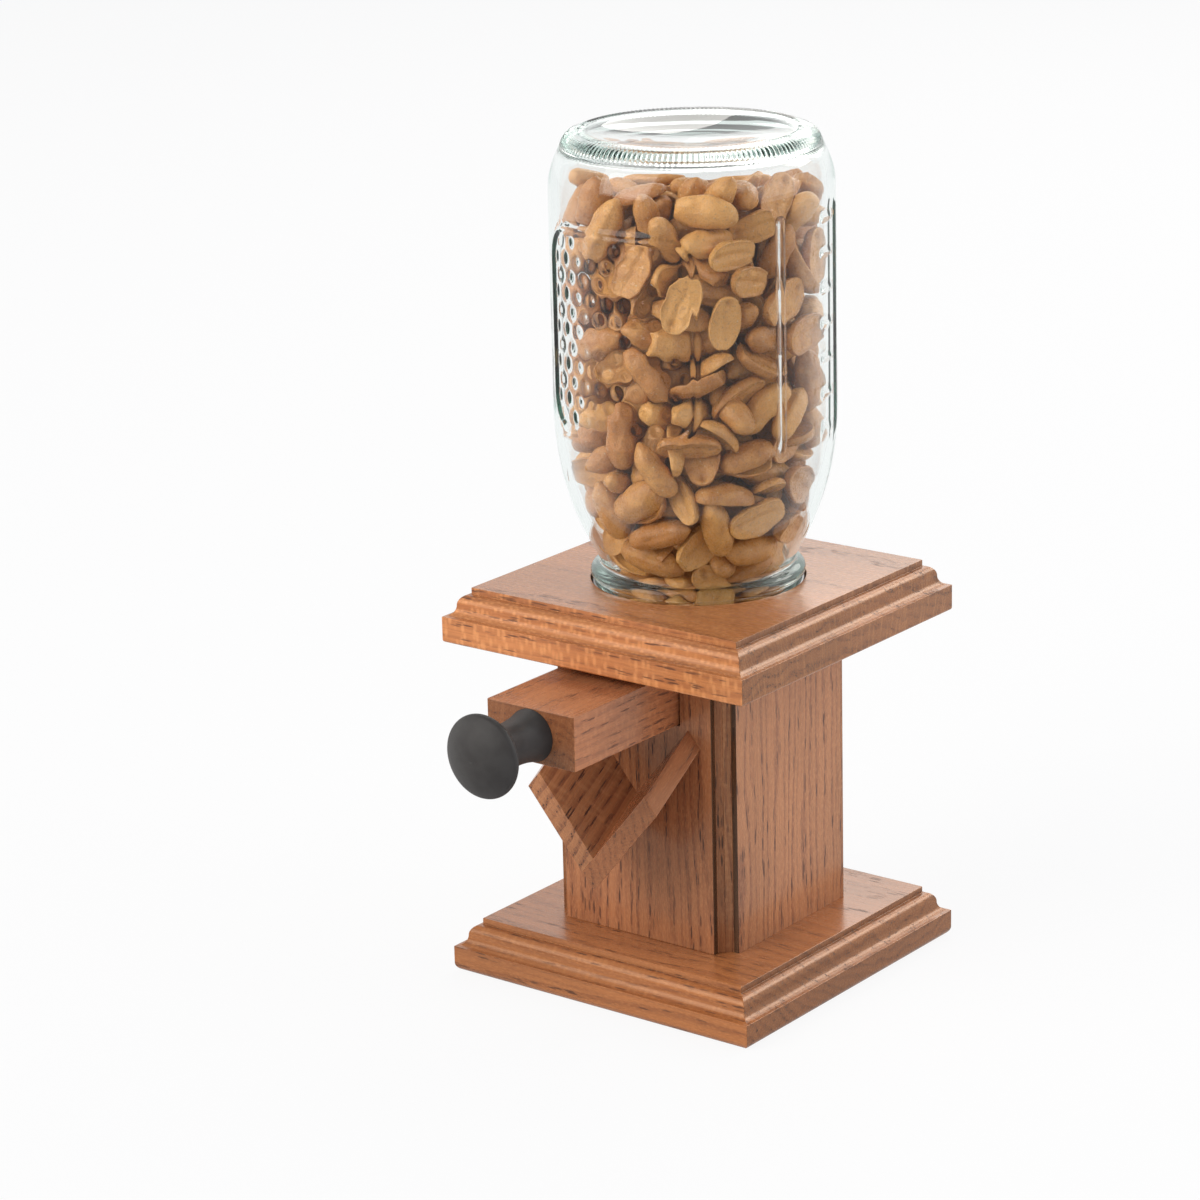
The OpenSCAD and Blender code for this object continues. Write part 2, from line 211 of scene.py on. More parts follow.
RAY_EDGE = (0.60, 0.12)
FIBRE_SCALE = (0.016, 1.3, 1.3)
FIBRE_SHARE = 0.42
CLOUD_SCALE = (0.010, 0.030, 0.030)
CLOUD_SHADES = (0.88, 1.10)
RING_CONTRAST = 0.7
PORE_CONTRAST = (0.45, 0.55)
HOLLOW_REACH = 3.5
HOLLOW_SHADE = 0.36
SEED_STEP = 61.0
# Where the column's corner strips and their steps are darkened with painted shade, and by how much
STRIP_START = 31.8
STRIP_END = 32.05
STRIP_PAINTED_SHADE = 0.22
STEP_START = 67.95
STEP_END = 68.4
VARNISH_TINT = (1.0, 0.72, 0.50, 1)


def grain_frame(along, across):
    """Rotation that turns the grain to the first axis, and a second direction towards the second axis."""
    first = Vector(along).normalized()
    third = first.cross(Vector(across)).normalized()
    second = third.cross(first)
    return Matrix((first, second, third)).to_euler()


def corner_painted_shade(make, step_painted_shade):
    """Share of light left on the column's corner strips and in the steps beside them, which are darkened
    with painted shade.
    """
    sides = [make.math("ABSOLUTE", part) for part in make.separate(make.millimetres())[:2]]
    strip = make.smooth(make.math("MINIMUM", *sides), STRIP_START, STRIP_END)
    full_painted_shade = STRIP_PAINTED_SHADE + step_painted_shade
    step = make.smooth(make.math("ADD", *sides), STEP_START, STEP_END, STRIP_PAINTED_SHADE, full_painted_shade)
    return make.math("SUBTRACT", 1.0, make.math("MULTIPLY", strip, step))


def faced(make, axis, shade):
    """Shade of the faces that look along an axis, which runs into 1 on the other faces."""
    facing = make.add("VectorMath", operation="DOT_PRODUCT")
    make.feed(facing.inputs[0], make.add("TexCoord").outputs["Normal"])
    facing.inputs[1].default_value = Vector(axis).normalized()
    return make.smooth(make.math("ABSOLUTE", facing.outputs["Value"]), 0.55, 0.95, 1.0, shade)


def earlywood(make, place, distance, ring, uneven):
    """Share of the porous wood that starts each year's ring, at a distance from the pith."""
    radius = make.math("ADD", distance, make.wander(place, SWAY_SCALE, 2.0, SWAY_SIZE))
    radius = make.math("ADD", radius, make.wander(place, RIPPLE_SCALE, 2.0, RIPPLE_SIZE))
    radius = make.math("ADD", radius, make.wander(place, UNEVEN_SCALE, 1.0, uneven))
    year = make.math("DIVIDE", radius, ring)
    phase = make.math("FRACT", year)
    early = make.math("MULTIPLY", make.smooth(phase, *EARLY_RISE), make.smooth(phase, *EARLY_FALL, 1.0, 0.0))
    years = make.combine(make.math("MULTIPLY", year, YEAR_SCALE))
    strength = make.smooth(make.noise(years, 1.0, 1.0), 0.3, 0.65, WEAK_YEAR, 1.0)
    return make.math("MULTIPLY", early, strength)


def open_pores(make, place, early):
    """Share of the open pores, which lie in patches and mostly in the earlywood."""
    size = (1 / PORE_LENGTH, 1 / PORE_WIDTH, 1 / PORE_WIDTH)
    pores = make.smooth(make.cells(make.mapping(place, size)), *PORE_EDGE)
    pores = make.math("MULTIPLY", pores, make.smooth(early, 0.10, 0.55, LATE_PORES, 1.0))
    patches = make.noise(make.mapping(place, PATCH_SCALE), 1.0, 2.0)
    return make.math("MULTIPLY", pores, make.smooth(patches, 0.32, 0.60, PATCH_LEAST, 1.0))


def ray_flecks(make, run, angle, distance, spread):
    """Share of the pale rays, which run out from the pith at a distance of about spread."""
    flat = make.combine(
        make.math("DIVIDE", run, RAY_LENGTH),
        make.math("MULTIPLY", angle, spread / RAY_WIDTH),
        make.math("DIVIDE", distance, RAY_DEPTH),
    )
    return make.smooth(make.cells(flat), *RAY_EDGE)


def oak(name, grain, pith, ring=3.0, tone=(1, 1, 1), shade=1.0, lines=0.6, fleck=0.3, end_shade=0.72,
        edge_shade=1.0, step_painted_shade=None, uneven=UNEVEN_SIZE, seed=0.0):
    """Stained oak under satin varnish, as a solid texture of a log.

    The log's axis runs along the grain, and its pith lies at the given place in the grain's frame. Rings,
    pores and rays are solid, so that faces, edges and ends of a board agree with each other.
    """
    make = Shader(name)
    along, across = grain
    turn = grain_frame(along, across)
    shift = (seed * SEED_STEP, -pith[0], -pith[1])
    place = make.mapping(make.coordinates(), (1 / MM,) * 3, turn, shift)
    run, side, depth = make.separate(place)
    squares = make.math("ADD", make.math("POWER", side, 2.0), make.math("POWER", depth, 2.0))
    distance = make.math("SQRT", squares)
    early = earlywood(make, place, distance, ring, uneven)
    pores = open_pores(make, place, early)
    rays = ray_flecks(make, run, make.math("ARCTAN2", depth, side), distance, math.hypot(*pith))
    fibres = make.noise(make.mapping(place, FIBRE_SCALE), 1.0, 3.0, 0.6)
    wood = make.mix(make.math("MULTIPLY", early, RING_CONTRAST * lines), LATEWOOD, EARLYWOOD)
    wood = make.mix(make.smooth(fibres, 0.38, 0.72, 0.0, FIBRE_SHARE), wood, EARLYWOOD)
    wood = make.mix(make.math("MULTIPLY", rays, fleck), wood, RAY)
    pore_share = PORE_CONTRAST[0] + PORE_CONTRAST[1] * lines
    wood = make.mix(make.math("MULTIPLY", pores, pore_share), wood, PORE)

    ended = make.math("MULTIPLY", faced(make, along, end_shade), faced(make, across, edge_shade))
    # Ambient occlusion darkens the colour in corners and hollows: painted shade
    hollow = make.add("AmbientOcclusion", samples=4, only_local=True)
    hollow.inputs["Distance"].default_value = HOLLOW_REACH * MM
    painted_hollow_shade = make.smooth(hollow.outputs["AO"], 0.35, 0.85, HOLLOW_SHADE, 1.0)
    cloud = make.noise(make.mapping(place, CLOUD_SCALE), 1.0, 2.0)
    low, high = CLOUD_SHADES
    level = make.math("MULTIPLY", make.smooth(cloud, 0.25, 0.75, low * shade, high * shade), ended)
    level = make.math("MULTIPLY", level, painted_hollow_shade)
    # Painted shade on the corner strips and in the steps beside them
    if step_painted_shade is not None:
        level = make.math("MULTIPLY", level, corner_painted_shade(make, step_painted_shade))
    tint = make.add("CombineColor")
    for socket, share in zip(tint.inputs, tone):
        make.feed(socket, make.math("MULTIPLY", level, share))
    wood = make.mix(1.0, wood, tint.outputs[0], "MULTIPLY")

    relief = make.math("MULTIPLY", pores, -1.0)
    relief = make.math("ADD", relief, make.math("MULTIPLY", fibres, 0.25))
    make.set(
        Base_Color=wood,
        Roughness=make.math("ADD", 0.27, make.math("MULTIPLY", pores, 0.25)),
        Normal=make.bump(relief, 0.30, 0.10 * MM),
        Specular_IOR_Level=0.75,
        Specular_Tint=VARNISH_TINT,
        Coat_Weight=0.25,
        Coat_Roughness=0.15,
        Coat_IOR=1.4,
    )
    return make.material


# Other finishes


def bare_wood():
    """Plain unfinished softwood for the strips and dowels inside."""
    make = Shader("bare_wood")
    place = make.millimetres()
    grain = make.noise(make.mapping(place, (0.5, 0.04, 0.5)), 1.0, 4.0)
    pale = (0.62, 0.42, 0.22, 1)
    dark = (0.48, 0.28, 0.13, 1)
    colour = make.mix(make.smooth(grain, 0.3, 0.7), pale, dark)
    make.set(Base_Color=colour, Roughness=0.65, Normal=make.bump(grain, 0.2, 0.1 * MM))
    return make.material


def black_knob():
    """Powder-coated black metal."""
    make = Shader("knob_black")
    place = make.millimetres()
    grit = make.noise(place, 3.5, 3.0, 0.6)
    wear = make.noise(place, 0.15, 2.0)
    dark = (0.0405, 0.0368, 0.0350, 1)
    worn = (0.0525, 0.0490, 0.0465, 1)
    colour = make.mix(make.smooth(wear, 0.3, 0.7), dark, worn)
    make.set(
        Base_Color=colour,
        Roughness=make.smooth(grit, 0.3, 0.7, 0.48, 0.58),
        Normal=make.bump(grit, 0.10, 0.06 * MM),
        Specular_IOR_Level=0.38,
    )
    return make.material


def metal(name, colour, rough):
    """Plated metal with fine turned marks."""
    make = Shader(name)
    place = make.millimetres()
    marks = make.noise(make.mapping(place, (0.4, 0.4, 6.0)), 1.0, 3.0)
    darker = tuple(0.8 * part for part in colour[:3]) + (1,)
    make.set(
        Base_Color=make.mix(marks, darker, colour),
        Roughness=make.smooth(marks, 0.3, 0.7, rough - 0.05, rough + 0.08),
        Metallic=1.0,
    )
    return make.material


def rubber():
    """Sealing compound of the lid."""
    make = Shader("seal")
    place = make.millimetres()
    grit = make.noise(place, 1.5, 3.0)
    colour = make.mix(grit, (0.36, 0.060, 0.035, 1), (0.45, 0.085, 0.050, 1))
    make.set(Base_Color=colour, Roughness=0.7, Normal=make.bump(grit, 0.2, 0.1 * MM))
    return make.material


def glass():
    """Clear glass with the green of thick soda-lime glass. Lamps shine through it."""
    make = Shader("glass")
    place = make.millimetres()
    ripple = make.noise(make.mapping(place, (0.06, 0.06, 0.03)), 1.0, 2.0)
    make.set(
        Base_Color=(1, 1, 1, 1),
        Roughness=0.0,
        IOR=1.5,
        Transmission_Weight=1.0,
        Normal=make.bump(ripple, 0.25, 0.4 * MM),
    )
    thick = make.add("VolumeAbsorption")
    thick.inputs["Color"].default_value = (0.52, 0.71, 0.655, 1)
    thick.inputs["Density"].default_value = 26.0
    make.feed(make.output.inputs["Volume"], thick.outputs["Volume"])
    through = make.add("BsdfTransparent")
    through.inputs["Color"].default_value = (0.93, 0.96, 0.95, 1)
    rays = make.add("LightPath")
    either = make.add("MixShader")
    make.feed(either.inputs[0], rays.outputs["Is Shadow Ray"])
    make.feed(either.inputs[1], make.surface.outputs["BSDF"])
    make.feed(either.inputs[2], through.outputs["BSDF"])
    make.feed(make.output.inputs["Surface"], either.outputs["Shader"])
    return make.material


def roasted_nuts():
    """Roasted, skinned peanuts with toasted patches and grains of salt."""
    make = Shader("nuts")
    place = make.millimetres()
    pale = (0.69, 0.335, 0.104, 1)
    toasted = (0.42, 0.158, 0.042, 1)
    burnt = (0.18, 0.062, 0.016, 1)
    salt_white = (0.70, 0.60, 0.46, 1)
    roast = make.add("Attribute", attribute_name="roast").outputs["Fac"]
    patches = make.noise(place, 0.24, 3.0, 0.6)
    specks = make.noise(place, 1.1, 4.0, 0.65)
    toast = make.math("ADD", make.math("MULTIPLY", roast, 0.55), make.math("MULTIPLY", patches, 0.75))
    colour = make.mix(make.smooth(toast, 0.30, 1.00), pale, toasted)
    colour = make.mix(make.smooth(specks, 0.50, 0.74, 0.0, 0.50), colour, burnt)
    grains = make.cells(place, 0.50)
    salt = make.smooth(grains, 0.13, 0.08)
    colour = make.mix(make.math("MULTIPLY", salt, 0.55), colour, salt_white)
    relief = make.math("ADD", specks, make.math("MULTIPLY", patches, 1.2))
    relief = make.math("ADD", relief, make.math("MULTIPLY", salt, 0.6))
    make.set(
        Base_Color=colour,
        Roughness=make.smooth(specks, 0.3, 0.7, 0.22, 0.38),
        Normal=make.bump(relief, 0.50, 0.7 * MM),
        Specular_IOR_Level=0.7,
    )
    return make.material


# Wooden and metal pieces of the frame

# Directions along and across the grain
ALONG_X = ((1, 0, 0), (0, 1, 0))
ALONG_Y = ((0, 1, 0), (1, 0, 0))
UPRIGHT_FRONT = ((0, 0, 1), (1, 0, 0))
UPRIGHT_SIDE = ((0, 0, 1), (0, 1, 0))
CHUTE_SLOPE = math.radians(33)
DOWN_CHUTE = ((0, -math.cos(CHUTE_SLOPE), -math.sin(CHUTE_SLOPE)), (1, 0, 0))
# Tones of the boards, partly painted light: PAINTED_COOL_TONE paints the cool side light on the right board
# and the bluish shade inside the chute, PAINTED_DULL_TONE the bluish shade on the front board, and the blue
# of RED the cool side light on the slide bar and the right chute arm
WARM = (1.05, 1.0, 0.92)
PAINTED_DULL_TONE = (1.03, 1.03, 1.16)
GOLD = (1.05, 1.03, 1.00)
PAINTED_COOL_TONE = (1.03, 1.12, 1.34)
RED = (1.06, 1.03, 1.17)


def dress(name, material):
    """Gives a CAD node its finish."""
    for slot in nodes[name].material_slots:
        slot.material = material


def ease_edges(name, width):
    """Rounds a CAD node's sharp edges a little, as sandpaper does, without changing its mesh."""
    piece = nodes[name]
    weld = piece.modifiers.new("weld", "WELD")
    weld.merge_threshold = 0.001 * MM
    plain = piece.modifiers.new("plain", "DECIMATE")
    plain.decimate_type = "DISSOLVE"
    plain.angle_limit = math.radians(0.5)
    ease = piece.modifiers.new("ease", "BEVEL")
    ease.width = width * MM
    ease.segments = 3
    ease.limit_method = "ANGLE"
    ease.angle_limit = math.radians(35)
    ease.harden_normals = False
    even = piece.modifiers.new("even", "WEIGHTED_NORMAL")
    even.keep_sharp = True


# The right board's higher shade is partly painted side light as well
BOARDS = {
    "base_plate": dict(
        grain=ALONG_X, pith=(30, 95), ring=3.6, tone=WARM, shade=1.06, lines=0.70, end_shade=0.64, seed=1
    ),
    "top_plate": dict(
        grain=ALONG_X, pith=(-20, -110), ring=4.6, tone=GOLD, shade=1.20, lines=0.75, fleck=0.6,
        end_shade=0.64, edge_shade=1.25, seed=2,
    ),
    "front_board": dict(
        grain=UPRIGHT_FRONT, pith=(-60, 40), ring=3.2, tone=PAINTED_DULL_TONE, shade=1.02, lines=1.05,
        step_painted_shade=0.62, seed=3,
    ),
    "back_board": dict(
        grain=UPRIGHT_FRONT, pith=(40, -70), ring=3.4, tone=WARM, shade=0.95, step_painted_shade=0.4, seed=4
    ),
    "left_board": dict(
        grain=UPRIGHT_SIDE, pith=(55, 60), ring=3.2, tone=WARM, shade=0.95, step_painted_shade=0.1, seed=5
    ),
    "right_board": dict(
        grain=UPRIGHT_SIDE, pith=(-80, 35), ring=2.8, tone=PAINTED_COOL_TONE, shade=1.20, lines=1.10,
        step_painted_shade=0.62, seed=6,
    ),
    "slide_bar": dict(
        grain=ALONG_Y, pith=(-30, 70), ring=3.2, tone=RED, shade=1.14, lines=0.5, end_shade=0.60,
        edge_shade=1.12, seed=7,
    ),
    "chute_left_arm": dict(
        grain=DOWN_CHUTE, pith=(30, 55), ring=4.2, tone=PAINTED_COOL_TONE, shade=1.05, lines=1.2, end_shade=0.92,
        uneven=1.5, seed=8,
    ),
    "chute_right_arm": dict(
        grain=DOWN_CHUTE, pith=(-45, 70), tone=RED, shade=0.97, end_shade=0.78, seed=9
    ),
}
EASED = 0.35


def finish_wood():
    for name, finish in BOARDS.items():
        dress(name, oak("oak_" + name, **finish))
        ease_edges(name, EASED)


def finish_fittings():
    plain = bare_wood()
    for name in ("slide_bed", "bed_cleat_left", "bed_cleat_right", "stop_pin", "chute_dowels"):
        dress(name, plain)
    zinc = metal("zinc", (0.62, 0.63, 0.65, 1), 0.35)
    for name in ("jar_lid", "base_screws", "knob_stud"):
        dress(name, zinc)
    dress("lid_screws", metal("brass", (0.70, 0.48, 0.18, 1), 0.32))
    dress("knob", black_knob())
    dress("jar_seal", rubber())


# Jar

JAR_RADIUS = 48.6
JAR_WALL = 3.2
JAR_HEIGHT = 170.8
JAR_FLOOR = 5.0
MOUTH_RADIUS = 29.8
NECK_RADIUS = 33.2
LIP_ROUND = 0.8
THREAD_RADIUS = 35.0
THREAD_RIDGE = 1.4
THREAD_PITCH = 5.08
BEAD_RADIUS = 37.4
BEAD_ROUND = 2.6
BEAD_HEIGHT = 17.2
SHOULDER_END = 74.6
SHOULDER_CURVE = 100.0
HEEL_START = 150.6
HEEL_CURVE = 30.0
PUSH_UP_RADIUS = 32.0
PUSH_UP_DEPTH = 3.0
JAR_SEGMENTS = 444


def arc(centre, radius, start, end, steps):
    """Points along an arc in the plane of radius and height, with angles in degrees."""
    angles = np.radians(np.linspace(start, end, steps))
    return [(centre[0] + radius * math.cos(a), centre[1] + radius * math.sin(a)) for a in angles]


def line(start, end, steps):
    """Points along a straight line, without its first point."""
    shares = np.linspace(0, 1, steps + 1)[1:]
    return [(start[0] + (end[0] - start[0]) * s, start[1] + (end[1] - start[1]) * s) for s in shares]


def soften(points, rounds):
    """Rounds the corners of an outline, with its ends held."""
    path = np.array(points, float)
    for _ in range(rounds):
        path[1:-1] = (path[:-2] + 2 * path[1:-1] + path[2:]) / 4
    return path


def jar_outer():
    """Outline of the outside from the rim to the middle of the push-up."""
    points = arc((NECK_RADIUS - LIP_ROUND, LIP_ROUND), LIP_ROUND, -90, 0, 5)
    for ring in (THREAD_PITCH, 2 * THREAD_PITCH):
        points += line(points[-1], (NECK_RADIUS, ring - THREAD_RIDGE), 2)
        points += arc((THREAD_RADIUS - THREAD_RIDGE, ring), THREAD_RIDGE, -90, 90, 8)
        points += [(NECK_RADIUS, ring + THREAD_RIDGE)]
    points += line(points[-1], (NECK_RADIUS, BEAD_HEIGHT - BEAD_ROUND), 3)
    points += arc((BEAD_RADIUS - BEAD_ROUND, BEAD_HEIGHT), BEAD_ROUND, -90, 90, 13)
    middle = JAR_RADIUS - SHOULDER_CURVE
    lowest = -math.degrees(math.acos((NECK_RADIUS - middle) / SHOULDER_CURVE))
    shoulder = arc((middle, SHOULDER_END), SHOULDER_CURVE, lowest, 0, 22)
    points += [(NECK_RADIUS, BEAD_HEIGHT + BEAD_ROUND)] + shoulder
    points += line(points[-1], (JAR_RADIUS, HEEL_START), 80)
    top = math.degrees(math.asin((JAR_HEIGHT - HEEL_START) / HEEL_CURVE))
    points += arc((JAR_RADIUS - HEEL_CURVE, HEEL_START), HEEL_CURVE, 0, top, 18)[1:]
    points += line(points[-1], (PUSH_UP_RADIUS, JAR_HEIGHT), 7)
    sphere = (PUSH_UP_RADIUS**2 + PUSH_UP_DEPTH**2) / (2 * PUSH_UP_DEPTH)
    edge = math.degrees(math.asin(PUSH_UP_RADIUS / sphere))
    points += arc((0, JAR_HEIGHT - PUSH_UP_DEPTH + sphere), sphere, -90 + edge, -90, 10)[1:]
    return soften(points, 3)


def jar_inner():
    """Outline of the inside from the middle of the bottom to the rim."""
    floor = JAR_HEIGHT - JAR_FLOOR
    heel = HEEL_CURVE - JAR_WALL
    middle = JAR_RADIUS - HEEL_CURVE
    top = math.degrees(math.asin((floor - HEEL_START) / heel))
    points = [(0, floor)]
    points += line(points[0], (middle + heel * math.cos(math.radians(top)), floor), 10)
    points += arc((middle, HEEL_START), heel, top, 0, 10)[1:]
    points += line(points[-1], (JAR_RADIUS - JAR_WALL, SHOULDER_END), 4)
    shoulder = SHOULDER_CURVE - JAR_WALL
    middle = JAR_RADIUS - SHOULDER_CURVE
    lowest = -math.degrees(math.acos((MOUTH_RADIUS - middle) / shoulder))
    points += arc((middle, SHOULDER_END), shoulder, 0, lowest, 14)[1:]
    points += line(points[-1], (MOUTH_RADIUS, 0.5), 6)
    return soften(points, 3)


PANEL_MIDDLE = 108.0
PANEL_HALF_WIDTH = 31.0
PANEL_HALF_HEIGHT = 35.0
PANEL_CORNER = 12.0
HOBNAIL_STEP = 7.0
HOBNAIL_ROW = 6.0
HOBNAIL_RADIUS = 2.8
HOBNAIL_HEIGHT = 0.55
PANEL_MARGIN = 2.0
PANEL_FADE = 1.5
FRAME_HEIGHT = 0.85
FRAME_HALF_WIDTH = 1.2
# Azimuth and height of each upright rib
RIBS = ((72.5, 1.2), (113.5, 0.6))
RIB_LOW = 70.0
RIB_HIGH = 146.0
RIB_HALF_WIDTH = 1.5
TICK_AZIMUTH = 103.0
TICK_SPACING = 12.0
TICK_COUNT = 7
TICK_START = RIB_LOW + 2
TICK_HALF_LENGTH = 4.0
TICK_HALF_WIDTH = 1.2
TICK_HEIGHT = 0.5
# Radius and half width of each ring of fine ridges
KNURLS = ((42.6, 1.4), (37.5, 1.0))
KNURL_HEIGHT = 0.45
KNURL_PERIOD = 3
KNURL_START = HEEL_START + 5
RELIEF_DEPTH = 4


def ridge(distance, half_width):
    """Rounded ridge of height 1 about zero distance."""
    return np.sqrt(np.clip(1 - (distance / half_width) ** 2, 0, 1))


def hobnails(across, up):
    """Rows of small round bumps of height 1, each row set half a step to the side of the last."""
    row = np.round(up / HOBNAIL_ROW)
    shifted = across - HOBNAIL_STEP * (row % 2) / 2
    beside = shifted - HOBNAIL_STEP * np.round(shifted / HOBNAIL_STEP)
    away = np.hypot(beside, up - row * HOBNAIL_ROW)
    return np.clip(1 - (away / HOBNAIL_RADIUS) ** 2, 0, 1) ** 1.5


def jar_relief(azimuth, height):
    """Height of the raised marks on the outside of the jar."""
    azimuth = (azimuth + 180) % 360 - 180
    across = np.radians(azimuth) * JAR_RADIUS
    up = height - PANEL_MIDDLE
    corner_x = np.clip(np.abs(across) - (PANEL_HALF_WIDTH - PANEL_CORNER), 0, None)
    corner_y = np.clip(np.abs(up) - (PANEL_HALF_HEIGHT - PANEL_CORNER), 0, None)
    rim = np.hypot(corner_x, corner_y) - PANEL_CORNER
    relief = FRAME_HEIGHT * ridge(rim, FRAME_HALF_WIDTH)
    inside = np.clip((-rim - PANEL_MARGIN) / PANEL_FADE, 0, 1)
    relief += HOBNAIL_HEIGHT * hobnails(across, up) * inside
    for place, rise in RIBS:
        beside = np.radians(azimuth - place) * JAR_RADIUS
        past = np.clip(RIB_LOW - height, 0, None) + np.clip(height - RIB_HIGH, 0, None)
        relief += rise * ridge(np.hypot(beside, past), RIB_HALF_WIDTH)
    for count in range(TICK_COUNT):
        level = TICK_START + TICK_SPACING * count
        beside = np.radians(azimuth - TICK_AZIMUTH) * JAR_RADIUS
        past = np.clip(np.abs(beside) - TICK_HALF_LENGTH, 0, None)
        relief += TICK_HEIGHT * ridge(np.hypot(height - level, past), TICK_HALF_WIDTH)
    return relief


def knurl(index, radius, height):
    """Fine ridges round the edge that the jar stands on when it is upright."""
    band = sum(ridge(radius - place, half_width) for place, half_width in KNURLS)
    return KNURL_HEIGHT * band * (index % KNURL_PERIOD == 0) * (height > KNURL_START)


def revolve(profile, azimuths):
    """Points of a profile turned round the axis: one ring for each point, front first."""
    turn = np.radians(azimuths)
    rings = np.empty((len(profile), len(azimuths), 3))
    rings[:, :, 0] = profile[:, 0, None] * np.sin(turn)
    rings[:, :, 1] = -profile[:, 0, None] * np.cos(turn)
    rings[:, :, 2] = profile[:, 1, None]
    return rings


def outline_normals(profile):
    """Outward normals of an outline that runs up the outside."""
    along = np.gradient(profile, axis=0)
    along /= np.linalg.norm(along, axis=1, keepdims=True) + 1e-12
    return np.stack((along[:, 1], -along[:, 0]), 1)


def add_piece(name, points, faces, material, body):
    """Makes a smooth mesh piece from points in millimetres."""
    mesh = bpy.data.meshes.new(name)
    mesh.from_pydata((np.asarray(points) * MM).tolist(), [], faces)
    mesh.polygons.foreach_set("use_smooth", np.ones(len(mesh.polygons), bool))
    mesh.materials.append(material)
    mesh.validate()
    mesh.update()
    piece = bpy.data.objects.new(name, mesh)
    bpy.context.scene.collection.objects.link(piece)
    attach(piece, body)
    return piece


def make_jar():
    """The jar as one closed mesh, with the raised marks on its outside."""
    azimuths = np.arange(JAR_SEGMENTS) * 360 / JAR_SEGMENTS
    outer = jar_outer()
    rings = revolve(outer, azimuths)
    normals = revolve(outline_normals(outer), azimuths)
    grid_azimuth, grid_height = np.meshgrid(azimuths, outer[:, 1])
    grid_index, grid_radius = np.meshgrid(np.arange(JAR_SEGMENTS), outer[:, 0])
    lift = jar_relief(grid_azimuth, grid_height) * (grid_radius > JAR_RADIUS - RELIEF_DEPTH)
    lift += knurl(grid_index, grid_radius, grid_height)
    rings += normals * lift[:, :, None]
    inside = revolve(jar_inner(), azimuths)
    # The first ring lies at the rim, and each surface ends in one point on the axis
    rows = np.concatenate((inside[1:], rings[:-1]))
    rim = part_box("jar")[0].z / MM
    points = np.concatenate((rows.reshape(-1, 3), inside[0, :1], rings[-1, :1]))
    points[:, 2] += rim
    bottom = len(points) - 2
    top = len(points) - 1
    faces = []
    last = len(rows) - 1
    for column in range(JAR_SEGMENTS):
        following = (column + 1) % JAR_SEGMENTS
        for row in range(last):
            low = row * JAR_SEGMENTS
            high = low + JAR_SEGMENTS
            faces.append((low + column, low + following, high + following, high + column))
        faces.append((bottom, following, column))
        faces.append((last * JAR_SEGMENTS + column, last * JAR_SEGMENTS + following, top))
    jar = add_piece("jar_glass", points, faces, glass(), "jar")
    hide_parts("jar")


# Peanuts

NUT_COUNT = 480
NUT_SIZES = (0.90, 1.08)
SMALL_SHARE = 0.06
SMALL_SIZE = 0.72
HALF_SHARE = 0.62
NUT_KINDS = 14
FINE_GRID = (22, 34)
ROUGH_GRID = (8, 12)
FILL_HEIGHT = 157.0
LYING = (1.0, 1.0, 0.35)
FACE_OUT = 1.4
FACE_OUT_SHARE = 0.6
FACE_OUT_DEPTH = 16
NUT_FLOOR = 1.6
NUT_CEILING = JAR_HEIGHT - JAR_FLOOR - 0.5
WALL_GAP = 0.3
NUT_BULGE = 1.08
FIRST_GAP = 6
NEAR_WALL = 20
TOP_LAYER = 82
SETTLING_STEPS = 210
SINKING_SHARE = 0.8
SINKING = 0.05
PAIR_STEPS = 6
PAIR_MARGIN = 3.0
PUSHES = 3
PUSH_SHARE = 0.25
TURN_INERTIA = 4.0
DEEPEST_FALL = 20.0
PAIR_BLOCK = 100
FACE_PALER = 0.35
WHOLE_BALLS = ((-5.8, 0, 0, 4.8), (0, 0, 0, 5.1), (5.8, 0, 0, 4.8))
HALF_BALLS = tuple((x, y, 0.0, 2.8) for x in (-6.8, -2.3, 2.3, 6.8) for y in (-2.9, 2.9))


def wall_radius(height):
    """Radius of the inside of the jar at a height above its rim."""
    middle = JAR_RADIUS - SHOULDER_CURVE
    below = np.clip(SHOULDER_END - height, 0, SHOULDER_CURVE - JAR_WALL - 1)
    shoulder = np.maximum(MOUTH_RADIUS, middle + np.sqrt((SHOULDER_CURVE - JAR_WALL) ** 2 - below**2))
    above = np.clip(height - HEEL_START, 0, HEEL_CURVE - JAR_WALL - 1)
    return np.minimum(shoulder, JAR_RADIUS - HEEL_CURVE + np.sqrt((HEEL_CURVE - JAR_WALL) ** 2 - above**2))


def unit(vectors):
    return vectors / np.linalg.norm(vectors, axis=1, keepdims=True)


def first_turns(random, outward):
    """Random rotations of nuts that mostly lie down, with many faces towards the given directions."""
    back = unit(random.normal(size=outward.shape) - FACE_OUT * outward)
    along = random.normal(size=outward.shape) * LYING
    along = unit(along - np.einsum("ij,ij->i", along, back)[:, None] * back)
    return np.stack((along, np.cross(back, along), back), 2)


def close_pairs(balls, radii, owner, margin):
    """Pairs of balls of different nuts that lie within a margin of touching."""
    order = np.argsort(balls[:, 2])
    heights = balls[order, 2]
    window = 2 * radii.max() + margin
    first, second = [], []
    for start in range(0, len(order), PAIR_BLOCK):
        block = order[start:start + PAIR_BLOCK]
        until = np.searchsorted(heights, balls[block[-1], 2] + window)
        others = order[start:until]
        apart = balls[block][:, None] - balls[others][None]
        gap = np.einsum("ijk,ijk->ij", apart, apart)
        reach = (radii[block][:, None] + radii[others][None] + margin) ** 2
        later = np.arange(len(others))[None] > np.arange(len(block))[:, None]
        near = (gap < reach) & (owner[block][:, None] != owner[others][None]) & later
        one, other = np.nonzero(near)
        first.append(block[one])
        second.append(others[other])
    return np.concatenate(first), np.concatenate(second)


def per_nut(owner, values):
    """Sum of the values of each nut's balls, in each column."""
    return np.stack([np.bincount(owner, column) for column in values.T], 1)


